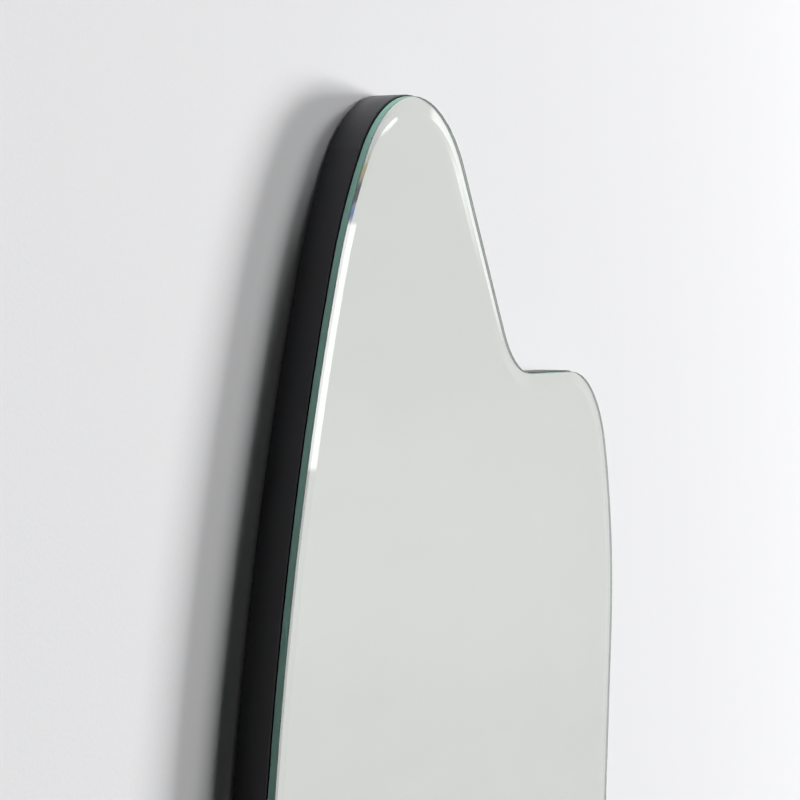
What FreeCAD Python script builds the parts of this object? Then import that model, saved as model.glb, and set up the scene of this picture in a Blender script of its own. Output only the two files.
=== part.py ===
import FreeCAD
import Part
import Sketcher
import math
import os
from collections import namedtuple

# A frameless wall mirror of freeform outline: bevelled silvered glass, bonded with tape
# and adhesive to a lacquered board that hangs on two keyhole plates let into its back.
#
# Frame: X to the right along the wall, Y into the wall, Z up. The origin is the middle of
# the two keyhole openings, in the plane of the board's back face, so the glass faces -Y.

# Driving sizes, in millimetres and degrees
SIZES = {
    # Upper lobe, the highest point of the outline, and the straight slope on its right
    "top_lobe_x": -79.5,
    "top_lobe_z": 147.6,
    "top_lobe_radius": 80.5,
    "slope_angle": 55.1,
    # Hollow between the slope and the shoulder
    "notch_radius": 60.0,
    # Shoulder lobe at the upper right, with the almost level ledge on its left
    "shoulder_x": 168.6,
    "shoulder_z": -2.6,
    "shoulder_radius": 77.8,
    "ledge_tilt": 1.6,
    # Right side: it swells past the shoulder lobe, then leans in to a slight waist
    "right_flank_radius": 315.0,
    "right_bulge": 20.0,
    "right_lean": 4.8,
    "waist_radius": 450.0,
    # Lower right lobe, standing out past the leaning side
    "hip_z": -428.0,
    "hip_radius": 140.0,
    "hip_bulge": 18.0,
    # Flat curve along the bottom
    "bottom_radius": 620.0,
    # Lower left lobe
    "foot_x": -86.0,
    "foot_z": -378.0,
    "foot_radius": 165.0,
    # Long left side, which tightens below the upper lobe
    "left_flank_radius": 1029.0,
    "brow_radius": 262.0,
    "brow_start": 51.8,
    # Board
    "board_thickness": 17.0,
    "board_arris": 0.35,
    # Bond between board and glass
    "bond_thickness": 0.4,
    "bond_end_margin": 22.0,
    "bond_side_margin": 90.0,
    "tape_width": 24.0,
    "bead_width": 14.0,
    # Glass, with its coat of silver and paint
    "coat_thickness": 0.1,
    "coat_margin": 0.6,
    "glass_inset": 0.9,
    "glass_thickness": 4.0,
    "bevel_width": 8.5,
    "bevel_drop": 0.36,
    "arris_width": 0.3,
    # Keyhole plates: the opening takes a wall screw's head, the slot its shank
    "hanger_spacing": 260.0,
    "plate_width": 22.0,
    "plate_thickness": 2.0,
    "plate_rise": 3.0,
    "keyhole_radius": 4.75,
    "keyhole_slot_width": 4.8,
    "keyhole_slot_rise": 9.0,
    # Recess for the plate, and the deeper pocket for the wall screw's head
    "plate_clearance": 0.3,
    "head_clearance": 1.5,
    "head_room": 8.0,
    # Countersunk screws that hold the plates, with a cross recess
    "screw_pitch": 38.0,
    "screw_diameter": 3.0,
    "screw_head_diameter": 6.6,
    "screw_point": 3.0,
    "screw_clearance": 0.3,
    "pilot_clearance": 0.1,
    "pilot_spare": 0.6,
    "pilot_skin": 4.4,
    "sink_clearance": 0.15,
    "cross_span": 3.4,
    "cross_width": 0.9,
    "cross_depth": 1.2,
    # Bumpers between board and wall
    "bumper_radius": 6.0,
    "bumper_thickness": 1.2,
    "bumper_arris": 0.4,
    "bumper_margin": 30.0,
}

TAPE_COUNT = 5
BEAD_COUNT = TAPE_COUNT - 1
COUNTERSINK_ANGLE = 90
# Heading of a line that runs straight down the outline's plane
DOWNWARDS = -90
# Where each lobe has its bumper, anticlockwise from the right
BUMPER_ANGLES = {"top": 90, "shoulder": 45, "hip": -45, "foot": -135}

# The lower right lobe's centre keeps its bulge past the leaning side
HIP_X = (
    "Sizes.shoulder_x + (Sizes.shoulder_radius + Sizes.right_bulge"
    " - Sizes.hip_radius + Sizes.hip_bulge"
    " + (Sizes.hip_z - Sizes.shoulder_z) * sin(Sizes.right_lean)) / cos(Sizes.right_lean)"
)
# The brow's larger circle takes over from the upper lobe at an angle left of its top
BROW_X = (
    "Sizes.top_lobe_x + (Sizes.brow_radius - Sizes.top_lobe_radius) * sin(Sizes.brow_start)"
)
BROW_Z = (
    "Sizes.top_lobe_z - (Sizes.brow_radius - Sizes.top_lobe_radius) * cos(Sizes.brow_start)"
)
# Depths of the layers in front of the board's back face
BOND_FRONT = "Sizes.board_thickness + Sizes.bond_thickness"
COAT_FRONT = f"{BOND_FRONT} + Sizes.coat_thickness"
COAT_INSET = "Sizes.glass_inset + Sizes.arris_width + Sizes.coat_margin"
# Height of a plate's two screws, which stand at the centres of its round ends
SCREW_HEIGHTS = {
    "lower": "Sizes.plate_rise - Sizes.screw_pitch / 2",
    "upper": "Sizes.plate_rise + Sizes.screw_pitch / 2",
}
# The pilot holes leave a skin of board in front of them, and the screws stop short of their ends
PILOT_DEPTH = "Sizes.board_thickness - Sizes.pilot_skin"
SCREW_LENGTH = f"{PILOT_DEPTH} - Sizes.pilot_spare"
HANGER_SIDES = {"left": "-Sizes.hanger_spacing / 2", "right": "Sizes.hanger_spacing / 2"}

doc = FreeCAD.newDocument("FreeformMirror")
sheet = doc.addObject("Spreadsheet::Sheet", "Sizes")
for row, (alias, number) in enumerate(SIZES.items(), start=1):
    sheet.set(f"A{row}", alias.replace("_", " "))
    sheet.set(f"B{row}", str(number))
    sheet.setAlias(f"B{row}", alias)
doc.recompute()


def value_of(expression):
    """Present value of an expression on the sheet."""
    return float(sheet.evalExpression(expression))


def size(alias):
    """One driving size, read back from the sheet."""
    return value_of(f"Sizes.{alias}")


# Outline geometry, in the plane of the board: x to the right, y up.
# A circle's radius is positive where the outline runs round it clockwise, as on a lobe,
# and negative where the outline runs round it the other way, as in a hollow.
Circle = namedtuple("Circle", "centre radius")
Line = namedtuple("Line", "point along")
Stretch = namedtuple("Stretch", "name shape start end")


def heading(degrees):
    """Unit vector at an angle counted anticlockwise from the x axis."""
    angle = math.radians(degrees)
    return FreeCAD.Vector(math.cos(angle), math.sin(angle), 0)


def right_of(vector):
    """The vector turned a quarter turn clockwise."""
    return FreeCAD.Vector(vector.y, -vector.x, 0)


def tangent_line(circle, way):
    """The line that leaves a clockwise circle in the given direction."""
    return Line(circle.centre - right_of(way) * circle.radius, way)


def blend_lines(first, second, radius):
    """Circle of the signed radius that touches two lines."""
    start = first.point + right_of(first.along) * radius
    gap = second.point + right_of(second.along) * radius - start
    across = right_of(second.along)
    return Circle(start + first.along * (gap.dot(across) / first.along.dot(across)), radius)


def blend_line_circle(line, circle, radius, side):
    """Circle of the signed radius that touches a line and a circle, behind (-1) or ahead (1)."""
    start = line.point + right_of(line.along) * radius
    nearest = start + line.along * (circle.centre - start).dot(line.along)
    reach = math.sqrt((radius - circle.radius) ** 2 - (circle.centre - nearest).Length ** 2)
    return Circle(nearest + line.along * (side * reach), radius)


def blend_circles(first, second, radius):
    """Circle of the signed radius that touches two lobes, on the right of the way between them."""
    way = second.centre - first.centre
    distance = way.Length
    first_reach = abs(radius - first.radius)
    second_reach = abs(radius - second.radius)
    along = (distance**2 + first_reach**2 - second_reach**2) / (2 * distance)
    across = math.sqrt(first_reach**2 - along**2)
    way = way / distance
    return Circle(first.centre + way * along + right_of(way) * across, radius)


def touch(shape, circle):
    """Point where a blend circle touches a line or another circle of the outline."""
    if isinstance(shape, Line):
        return circle.centre - right_of(shape.along) * circle.radius
    share = shape.radius / (shape.radius - circle.radius)
    return shape.centre + (circle.centre - shape.centre) * share


def lobe(x, y, radius_alias, inset):
    """A lobe's circle from the expressions of its centre and its radius, drawn in by an inset."""
    return Circle(FreeCAD.Vector(value_of(x), value_of(y), 0), size(radius_alias) - inset)


def outline(inset):
    """The closed outline, drawn in by an inset, as tangent stretches clockwise from the brow."""
    top = lobe("Sizes.top_lobe_x", "Sizes.top_lobe_z", "top_lobe_radius", inset)
    shoulder = lobe("Sizes.shoulder_x", "Sizes.shoulder_z", "shoulder_radius", inset)
    hip = lobe(HIP_X, "Sizes.hip_z", "hip_radius", inset)
    foot = lobe("Sizes.foot_x", "Sizes.foot_z", "foot_radius", inset)
    brow = lobe(BROW_X, BROW_Z, "brow_radius", inset)

    slope = tangent_line(top, heading(-size("slope_angle")))
    ledge = tangent_line(shoulder, heading(-size("ledge_tilt")))
    bulged = Circle(shoulder.centre, shoulder.radius + size("right_bulge"))
    side = tangent_line(bulged, heading(DOWNWARDS - size("right_lean")))

    notch = blend_lines(slope, ledge, -(size("notch_radius") + inset))
    flank = blend_line_circle(side, shoulder, size("right_flank_radius") - inset, 1)
    waist = blend_line_circle(side, hip, -(size("waist_radius") + inset), -1)
    bottom = blend_circles(hip, foot, size("bottom_radius") - inset)
    left = blend_circles(foot, brow, size("left_flank_radius") - inset)

    shapes = (
        ("top_lobe", top, touch(top, brow)),
        ("slope", slope, slope.point),
        ("notch", notch, touch(slope, notch)),
        ("ledge", ledge, touch(ledge, notch)),
        ("shoulder", shoulder, ledge.point),
        ("right_flank", flank, touch(shoulder, flank)),
        ("side", side, touch(side, flank)),
        ("waist", waist, touch(side, waist)),
        ("hip", hip, touch(hip, waist)),
        ("bottom", bottom, touch(hip, bottom)),
        ("foot", foot, touch(foot, bottom)),
        ("left_flank", left, touch(foot, left)),
        ("brow", brow, touch(brow, left)),
    )
    starts = [start for _, _, start in shapes]
    ends = starts[1:] + starts[:1]
    return [Stretch(name, shape, start, end) for (name, shape, start), end in zip(shapes, ends)]


def runs_clockwise(stretch):
    """Whether the outline runs along a stretch as a clockwise arc."""
    return isinstance(stretch.shape, Circle) and stretch.shape.radius > 0


def stretch_geometry(stretch):
    """A stretch of the outline as a line or an anticlockwise arc."""
    if isinstance(stretch.shape, Line):
        return Part.LineSegment(stretch.start, stretch.end)
    centre = stretch.shape.centre
    circle = Part.Circle(centre, FreeCAD.Vector(0, 0, 1), abs(stretch.shape.radius))
    ends = [stretch.start - centre, stretch.end - centre]
    if runs_clockwise(stretch):
        ends.reverse()
    first, last = (math.atan2(end.y, end.x) for end in ends)
    return Part.ArcOfCircle(circle, first, last)


def outline_face(inset):
    """The plane area inside the outline drawn in by an inset."""
    edges = [stretch_geometry(stretch).toShape() for stretch in outline(inset)]
    return Part.Face(Part.Wire(edges))


def span_inside(face, x, width):
    """Lowest and highest point of an upright strip of the given width that stays inside a face."""
    reach = face.BoundBox.DiagonalLength
    middle = face.BoundBox.Center.y
    lows = []
    highs = []
    for edge_x in (x - width / 2, x + width / 2):
        low = FreeCAD.Vector(edge_x, middle - reach, 0)
        high = FreeCAD.Vector(edge_x, middle + reach, 0)
        inside = Part.makeLine(low, high).common(face)
        lows.append(inside.BoundBox.YMin)
        highs.append(inside.BoundBox.YMax)
    return max(lows), min(highs)


# Sketches, where a line or arc knows its points by these numbers
START, END, CENTRE = range(1, 4)


def own_feature(body, role):
    """One of a body's own origin planes or axes."""
    return next(feature for feature in body.Origin.OriginFeatures if feature.Role == role)


def new_body(label):
    """An empty body whose label names its piece."""
    body = doc.addObject("PartDesign::Body", label)
    body.Label = label
    return body


def new_sketch(body, name, role="XZ_Plane"):
    """A sketch on one of the body's origin planes. On XZ_Plane its normal points to the front."""
    sketch = body.newObject("Sketcher::SketchObject", name)
    sketch.AttachmentSupport = [(own_feature(body, role), "")]
    sketch.MapMode = "FlatFace"
    return sketch


def dimension(sketch, name, expression, kind, *geometry):
    """Add one named dimension to a sketch and tie it to the sheet."""
    present = value_of(expression)
    if kind == "Angle":
        present = math.radians(present)
        expression = f"({expression}) * 1 deg"
    index = sketch.addConstraint(Sketcher.Constraint(kind, *geometry, present))
    sketch.renameConstraint(index, name)
    sketch.setExpression(f"Constraints.{name}", expression)


def centre_at(sketch, name, geometry, x, y):
    """Tie the centre of a circle or arc to two expressions."""
    dimension(sketch, f"{name}_x", x, "DistanceX", geometry, CENTRE)
    dimension(sketch, f"{name}_y", y, "DistanceY", geometry, CENTRE)


def draw_outline(body, name, inset):
    """Sketch the outline drawn in by an inset, with every arc and angle tied to the sheet."""
    sketch = new_sketch(body, name)
    stretches = outline(value_of(inset))
    sketch.addGeometry([stretch_geometry(stretch) for stretch in stretches], False)
    index = {stretch.name: number for number, stretch in enumerate(stretches)}
    for number, stretch in enumerate(stretches):
        following = (number + 1) % len(stretches)
        leaving = START if runs_clockwise(stretch) else END
        entering = END if runs_clockwise(stretches[following]) else START
        tangency = Sketcher.Constraint("Tangent", number, leaving, following, entering)
        sketch.addConstraint(tangency)

    for stretch in stretches:
        if isinstance(stretch.shape, Circle):
            sign = "-" if runs_clockwise(stretch) else "+"
            radius = f"Sizes.{stretch.name}_radius {sign} ({inset})"
            dimension(sketch, f"{stretch.name}_r", radius, "Radius", index[stretch.name])
    for lobe_name in ("top_lobe", "shoulder", "foot"):
        x = f"Sizes.{lobe_name}_x"
        y = f"Sizes.{lobe_name}_z"
        centre_at(sketch, lobe_name, index[lobe_name], x, y)
    centre_at(sketch, "hip", index["hip"], HIP_X, "Sizes.hip_z")
    dimension(sketch, "brow_x", BROW_X, "DistanceX", index["brow"], CENTRE)
    side_out = f"Sizes.shoulder_radius + Sizes.right_bulge - ({inset})"
    shoulder_centre = (index["shoulder"], CENTRE)
    dimension(sketch, "side_out", side_out, "Distance", *shoulder_centre, index["side"])
    dimension(sketch, "slope_angle", "-Sizes.slope_angle", "Angle", index["slope"])
    dimension(sketch, "ledge_angle", "-Sizes.ledge_tilt", "Angle", index["ledge"])
    dimension(sketch, "side_angle", f"{DOWNWARDS} - Sizes.right_lean", "Angle", index["side"])
    return sketch


def draw_stadium(sketch, name, x, low, high, radius):
    """Sketch an upright slot with round ends: its middle line, its end centres and its radius."""
    middle = value_of(x)
    half_width = value_of(radius)
    normal = FreeCAD.Vector(0, 0, 1)
    upper = FreeCAD.Vector(middle, value_of(high), 0)
    lower = FreeCAD.Vector(middle, value_of(low), 0)
    aside = FreeCAD.Vector(half_width, 0, 0)
    top = sketch.GeometryCount
    sketch.addGeometry(
        [
            Part.ArcOfCircle(Part.Circle(upper, normal, half_width), 0, math.pi),
            Part.LineSegment(upper - aside, lower - aside),
            Part.ArcOfCircle(Part.Circle(lower, normal, half_width), math.pi, 2 * math.pi),
            Part.LineSegment(lower + aside, upper + aside),
        ],
        False,
    )
    ring = [top, top + 1, top + 2, top + 3]
    for number, following in zip(ring, ring[1:] + ring[:1]):
        sketch.addConstraint(Sketcher.Constraint("Tangent", number, END, following, START))
    centre_at(sketch, f"{name}_top", top, x, high)
    dimension(sketch, f"{name}_low", low, "DistanceY", top + 2, CENTRE)
    dimension(sketch, f"{name}_r", radius, "Radius", top)


def draw_circle(sketch, name, x, y, radius):
    """Sketch a circle from the expressions of its centre and radius."""
    centre = FreeCAD.Vector(value_of(x), value_of(y), 0)
    circle = Part.Circle(centre, FreeCAD.Vector(0, 0, 1), value_of(radius))
    number = sketch.addGeometry(circle, False)
    centre_at(sketch, name, number, x, y)
    dimension(sketch, f"{name}_r", radius, "Radius", number)


def draw_polygon(sketch, corners):
    """Sketch a closed polygon from pairs of expressions, one pair for each corner."""
    points = [FreeCAD.Vector(value_of(x), value_of(y), 0) for x, y in corners]
    ends = points[1:] + points[:1]
    sides = [Part.LineSegment(start, end) for start, end in zip(points, ends)]
    sketch.addGeometry(sides, False)
    for number, (x, y) in enumerate(corners):
        following = (number + 1) % len(corners)
        sketch.addConstraint(Sketcher.Constraint("Coincident", number, END, following, START))
        dimension(sketch, f"corner_{number}_x", x, "DistanceX", number, START)
        dimension(sketch, f"corner_{number}_y", y, "DistanceY", number, START)


# Features, whose level edges are found within a small tolerance
FLAT = 1e-6


def pad(body, sketch, length, backwards=False):
    """Raise a sketch to a solid, towards the front unless backwards is set."""
    feature = body.newObject("PartDesign::Pad", f"{sketch.Name}_pad")
    feature.Profile = sketch
    feature.Reversed = backwards
    feature.setExpression("Length", length)
    doc.recompute()
    return feature


def pocket(body, sketch, depth):
    """Cut a sketch on the back plane into the solid, towards the front."""
    before = body.Shape.Volume
    feature = body.newObject("PartDesign::Pocket", f"{sketch.Name}_pocket")
    feature.Profile = sketch
    feature.Reversed = True
    feature.setExpression("Length", depth)
    doc.recompute()
    if body.Shape.Volume >= before:
        raise ValueError(f"{feature.Name} cuts nothing")
    return feature


def level_edges(feature, depth):
    """Names of the edges that lie in the plane at a depth in front of the body's back plane."""
    names = []
    for number, edge in enumerate(feature.Shape.Edges, start=1):
        box = edge.BoundBox
        if box.YLength < FLAT and abs(box.YMin + depth) < FLAT:
            names.append(f"Edge{number}")
    return names


def chamfer(body, base, edges, down, inwards):
    """Bevel a list of edges by one distance down the side wall and one in across the face."""
    feature = body.newObject("PartDesign::Chamfer", f"{base.Name}_chamfer")
    feature.Base = (base, edges)
    feature.ChamferType = "Two distances"
    feature.setExpression("Size", down)
    feature.setExpression("Size2", inwards)
    doc.recompute()
    return feature


def place(piece, x="0", y="0", z="0"):
    """Put a piece where three expressions say."""
    for axis, expression in zip("xyz", (x, y, z)):
        piece.setExpression(f"Placement.Base.{axis}", expression)


# Pieces
def draw_plate(sketch, x, clearance):
    """Sketch a plate's round-ended outline, or its recess, around its two screws."""
    radius = f"Sizes.plate_width / 2 + {clearance}"
    draw_stadium(sketch, "plate", x, SCREW_HEIGHTS["lower"], SCREW_HEIGHTS["upper"], radius)


def backing_board():
    """Board with eased edges, a recess and a head pocket for each hanger, and pilot holes."""
    body = new_body("backing_board")
    blank = pad(body, draw_outline(body, "board_outline", "0"), "Sizes.board_thickness")
    rims = level_edges(blank, 0) + level_edges(blank, size("board_thickness"))
    chamfer(body, blank, rims, "Sizes.board_arris", "Sizes.board_arris")

    x = HANGER_SIDES["left"]
    recess = new_sketch(body, "plate_recess")
    draw_plate(recess, x, "Sizes.plate_clearance")
    head = new_sketch(body, "head_pocket")
    head_radius = "Sizes.keyhole_radius + Sizes.head_clearance"
    draw_stadium(head, "head", x, "0", "Sizes.keyhole_slot_rise", head_radius)
    pilots = new_sketch(body, "pilot_holes")
    pilot_radius = "Sizes.screw_diameter / 2 + Sizes.pilot_clearance"
    for name, height in SCREW_HEIGHTS.items():
        draw_circle(pilots, name, x, height, pilot_radius)
    cuts = [
        pocket(body, recess, "Sizes.plate_thickness"),
        pocket(body, head, "Sizes.plate_thickness + Sizes.head_room"),
        pocket(body, pilots, PILOT_DEPTH),
    ]

    one_side = body.Shape.Volume
    both = body.newObject("PartDesign::LinearPattern", "both_hangers")
    both.Originals = cuts
    both.Direction = (own_feature(body, "X_Axis"), [""])
    both.Occurrences = len(HANGER_SIDES)
    both.setExpression("Length", "Sizes.hanger_spacing")
    body.Tip = both
    doc.recompute()
    if body.Shape.Volume >= one_side:
        raise ValueError("the second hanger's recess is missing")
    return body


def silver_coat():
    """Thin coat of silver and paint on the back of the glass, short of its ground edge."""
    body = new_body("silver_coat")
    pad(body, draw_outline(body, "coat_outline", COAT_INSET), "Sizes.coat_thickness")
    place(body, y=f"-({BOND_FRONT})")
    return body


def mirror_glass():
    """Glass plate with a wide front bevel all round and a small arris on its edge's corners.

    The front rim is first cut back at 45 degrees. The bevel then leaves a strip of that cut
    standing as the arris between itself and the upright edge.
    """
    body = new_body("mirror_glass")
    sketch = draw_outline(body, "glass_outline", "Sizes.glass_inset")
    blank = pad(body, sketch, "Sizes.glass_thickness")
    rim = "Sizes.bevel_drop + Sizes.arris_width"
    front = level_edges(blank, size("glass_thickness"))
    front_rim = chamfer(body, blank, front, rim, rim)
    back = level_edges(front_rim, 0)
    back_rim = chamfer(body, front_rim, back, "Sizes.arris_width", "Sizes.arris_width")
    front = level_edges(back_rim, size("glass_thickness"))
    chamfer(body, back_rim, front, "Sizes.bevel_drop * sqrt(2)", f"Sizes.bevel_width - ({rim})")
    place(body, y=f"-({COAT_FRONT})")
    return body


def across(room, count, number, spacing):
    """Middle of one of a row of upright strips, evenly spaced about the middle of an area."""
    return room.BoundBox.Center.x + (number - (count - 1) / 2) * spacing


def bond_layer():
    """Upright tape strips with adhesive beads between them, cut to suit the outline."""
    glass_edge = size("glass_inset") + size("bevel_width")
    room = outline_face(glass_edge + size("bond_end_margin"))
    taped_width = outline_face(0).BoundBox.XLength - 2 * size("bond_side_margin")
    spacing = taped_width / (TAPE_COUNT - 1)
    pieces = []
    for number in range(TAPE_COUNT):
        x = across(room, TAPE_COUNT, number, spacing)
        low, high = span_inside(room, x, size("tape_width"))
        tape = doc.addObject("Part::Box", f"mirror_tape_{number + 1}")
        tape.setExpression("Length", "Sizes.tape_width")
        tape.setExpression("Width", "Sizes.bond_thickness")
        tape.Height = high - low
        place(tape, f"{x} - Sizes.tape_width / 2", f"-({BOND_FRONT})", f"{low}")
        pieces.append(tape)
    for number in range(BEAD_COUNT):
        x = across(room, BEAD_COUNT, number, spacing)
        low, high = span_inside(room, x, size("bead_width"))
        body = new_body(f"adhesive_bead_{number + 1}")
        sketch = new_sketch(body, f"bead_{number + 1}")
        radius = "Sizes.bead_width / 2"
        draw_stadium(sketch, "bead", "0", f"{low} + {radius}", f"{high} - {radius}", radius)
        pad(body, sketch, "Sizes.bond_thickness")
        place(body, f"{x}", "-Sizes.board_thickness")
        pieces.append(body)
    return pieces


def keyhole_plate(side):
    """Round-ended steel plate with a keyhole and two countersunk screw holes."""
    body = new_body(f"keyhole_plate_{side}")
    outer = new_sketch(body, f"plate_{side}")
    draw_plate(outer, "0", "0")
    pad(body, outer, "Sizes.plate_thickness")
    slot = new_sketch(body, f"slot_{side}")
    slot_radius = "Sizes.keyhole_slot_width / 2"
    draw_stadium(slot, "slot", "0", "0", "Sizes.keyhole_slot_rise", slot_radius)
    pocket(body, slot, "Sizes.plate_thickness")
    opening = new_sketch(body, f"opening_{side}")
    draw_circle(opening, "opening", "0", "0", "Sizes.keyhole_radius")
    pocket(body, opening, "Sizes.plate_thickness")

    before = body.Shape.Volume
    centres = new_sketch(body, f"screw_holes_{side}")
    for name, height in SCREW_HEIGHTS.items():
        draw_circle(centres, name, "0", height, "Sizes.screw_diameter / 2")
    doc.recompute()
    holes = body.newObject("PartDesign::Hole", f"countersinks_{side}")
    holes.Profile = centres
    doc.recompute()
    holes.Reversed = True
    holes.DepthType = "ThroughAll"
    holes.HoleCutType = "Countersink"
    holes.HoleCutCustomValues = True
    holes.HoleCutCountersinkAngle = COUNTERSINK_ANGLE
    holes.setExpression("Diameter", "Sizes.screw_diameter + 2 * Sizes.screw_clearance")
    sink = "Sizes.screw_head_diameter + 2 * Sizes.sink_clearance"
    holes.setExpression("HoleCutDiameter", sink)
    doc.recompute()
    if body.Shape.Volume >= before:
        raise ValueError(f"the screw holes of the {side} plate cut nothing")
    place(body, HANGER_SIDES[side])
    return body


def countersunk_screw(name, x, z):
    """Screw with a countersunk head, a plain pointed shank and a cross recess."""
    body = new_body(name)
    profile = new_sketch(body, f"{name}_profile", "XY_Plane")
    head = "Sizes.screw_head_diameter / 2"
    shank = "Sizes.screw_diameter / 2"
    neck = f"({head} - {shank}) / tan({COUNTERSINK_ANGLE / 2})"
    draw_polygon(
        profile,
        [
            ("0", "0"),
            (head, "0"),
            (shank, f"-{neck}"),
            (shank, f"Sizes.screw_point - ({SCREW_LENGTH})"),
            ("0", f"-({SCREW_LENGTH})"),
        ],
    )
    turned = body.newObject("PartDesign::Revolution", f"{name}_turned")
    turned.Profile = profile
    turned.ReferenceAxis = (profile, ["V_Axis"])
    doc.recompute()

    half_span = "Sizes.cross_span / 2"
    half_width = "Sizes.cross_width / 2"
    for way, half_x, half_z in (("level", half_span, half_width), ("upright", half_width, half_span)):
        slot = new_sketch(body, f"{name}_{way}_slot")
        draw_polygon(
            slot,
            [
                (f"-{half_x}", f"-{half_z}"),
                (half_x, f"-{half_z}"),
                (half_x, half_z),
                (f"-{half_x}", half_z),
            ],
        )
        pocket(body, slot, "Sizes.cross_depth")
    place(body, x, z=z)
    return body


def hanger_screws(side):
    """The two screws of one plate, as one group."""
    group = doc.addObject("Part::Compound", f"hanger_screws_{side}")
    group.Links = [
        countersunk_screw(f"screw_{side}_{name}", HANGER_SIDES[side], height)
        for name, height in SCREW_HEIGHTS.items()
    ]
    return group


def wall_bumper(name, lobe_x, lobe_z, lobe_radius):
    """Round rubber bumper stuck to the board's back, in from the rim of one lobe."""
    angle = BUMPER_ANGLES[name]
    body = new_body(f"wall_bumper_{name}")
    sketch = new_sketch(body, f"bumper_{name}")
    draw_circle(sketch, "bumper", "0", "0", "Sizes.bumper_radius")
    disc = pad(body, sketch, "Sizes.bumper_thickness", backwards=True)
    rim = level_edges(disc, -size("bumper_thickness"))
    chamfer(body, disc, rim, "Sizes.bumper_arris", "Sizes.bumper_arris")
    reach = f"({lobe_radius} - Sizes.bumper_margin)"
    place(body, f"{lobe_x} + {reach} * cos({angle})", z=f"{lobe_z} + {reach} * sin({angle})")
    return body


def wall_bumpers():
    """One bumper behind each lobe."""
    lobes = (
        ("top", "Sizes.top_lobe_x", "Sizes.top_lobe_z", "Sizes.top_lobe_radius"),
        ("shoulder", "Sizes.shoulder_x", "Sizes.shoulder_z", "Sizes.shoulder_radius"),
        ("hip", HIP_X, "Sizes.hip_z", "Sizes.hip_radius"),
        ("foot", "Sizes.foot_x", "Sizes.foot_z", "Sizes.foot_radius"),
    )
    return [wall_bumper(*lobe_sizes) for lobe_sizes in lobes]


pieces = [backing_board(), silver_coat(), mirror_glass()]
pieces += bond_layer()
pieces += [keyhole_plate(side) for side in HANGER_SIDES]
pieces += [hanger_screws(side) for side in HANGER_SIDES]
pieces += wall_bumpers()
doc.recompute()

# Nothing is written unless every object and every piece came out whole
for item in doc.Objects:
    if "Invalid" in item.State or "Error" in item.State:
        raise ValueError(f"{item.Label} failed to build: {item.State}")
for piece in pieces:
    if piece.Shape.isNull() or not piece.Shape.isValid():
        raise ValueError(f"{piece.Label} has no valid shape")
os.makedirs("parts", exist_ok=True)
for piece in pieces:
    piece.Shape.exportStep(f"parts/{piece.Label}.step")
    print(f"{piece.Label}: {len(piece.Shape.Solids)} solid, {piece.Shape.Volume:.1f} mm3")
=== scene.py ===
"""Freeform wall mirror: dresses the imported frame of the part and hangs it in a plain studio."""

import logging
import math
from collections.abc import Callable, Mapping, Sequence
from dataclasses import dataclass
from enum import Enum, auto
from typing import ClassVar

import bpy
from bpy.types import Material, MeshPolygon, Node, NodeSocket, NodeTree, Object
from mathutils import Matrix, Vector
from mathutils.geometry import tessellate_polygon

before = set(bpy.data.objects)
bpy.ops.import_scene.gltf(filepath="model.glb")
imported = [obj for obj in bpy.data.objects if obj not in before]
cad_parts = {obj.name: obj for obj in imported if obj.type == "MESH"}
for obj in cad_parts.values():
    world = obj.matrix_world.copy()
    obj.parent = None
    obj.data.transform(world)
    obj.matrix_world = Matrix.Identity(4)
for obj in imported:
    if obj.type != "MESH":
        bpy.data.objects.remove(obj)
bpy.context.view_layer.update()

LOG = logging.getLogger("mirror")
FRONT = Vector((0.0, -1.0, 0.0))

# Socket numbers of the colour mix node, whose socket names repeat for each data type
MIX_FACTOR, MIX_FIRST, MIX_SECOND, MIX_RESULT = 0, 6, 7, 2

MM_PER_M = 1000.0
SENSOR_MM = 36.0
GLASS_IOR = 1.52
LACQUER_IOR = 1.5

# Cloudy noise seldom leaves this range, so what it drives is spread over it
NOISE_LOW, NOISE_HIGH = 0.3, 0.7


def linear(hex_colour: str) -> tuple[float, float, float, float]:
    """Turn a hex colour into linear values by the standard sRGB curve.

    Args:
        hex_colour: Six hex digits after a hash sign.

    Returns:
        Linear red, green, blue and an alpha of 1.
    """
    parts = [int(hex_colour[start : start + 2], 16) / 255 for start in (1, 3, 5)]
    red, green, blue = [
        part / 12.92 if part <= 0.04045 else ((part + 0.055) / 1.055) ** 2.4 for part in parts
    ]
    return red, green, blue, 1.0


def add_node(
    tree: NodeTree,
    kind: str,
    inputs: Mapping[str | int, object] | None = None,
    **settings: object,
) -> Node:
    """Add one node with its settings, its socket values and the links that feed it.

    Args:
        tree: Node tree that takes the node.
        kind: Blender's name for the type of node.
        inputs: Socket name or number, with a value or with the output socket that feeds it.
        settings: Properties of the node itself.

    Returns:
        The new node.
    """
    node = tree.nodes.new(kind)
    for name, value in settings.items():
        setattr(node, name, value)
    for key, value in (inputs or {}).items():
        if isinstance(value, NodeSocket):
            tree.links.new(value, node.inputs[key])
        else:
            node.inputs[key].default_value = value
    return node


def seen_rays(tree: NodeTree) -> NodeSocket:
    """Tell the rays that show something from those that only light it.

    A ray shows something straight, in gloss or through glass.

    Args:
        tree: Node tree that takes the nodes.

    Returns:
        Socket that is 1 for a ray that shows something.
    """
    path = add_node(tree, "ShaderNodeLightPath")
    straight = {0: path.outputs["Is Camera Ray"], 1: path.outputs["Is Glossy Ray"]}
    first = add_node(tree, "ShaderNodeMath", straight, operation="MAXIMUM")
    glass = {0: first.outputs["Value"], 1: path.outputs["Is Transmission Ray"]}
    return add_node(tree, "ShaderNodeMath", glass, operation="MAXIMUM").outputs["Value"]


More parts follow.
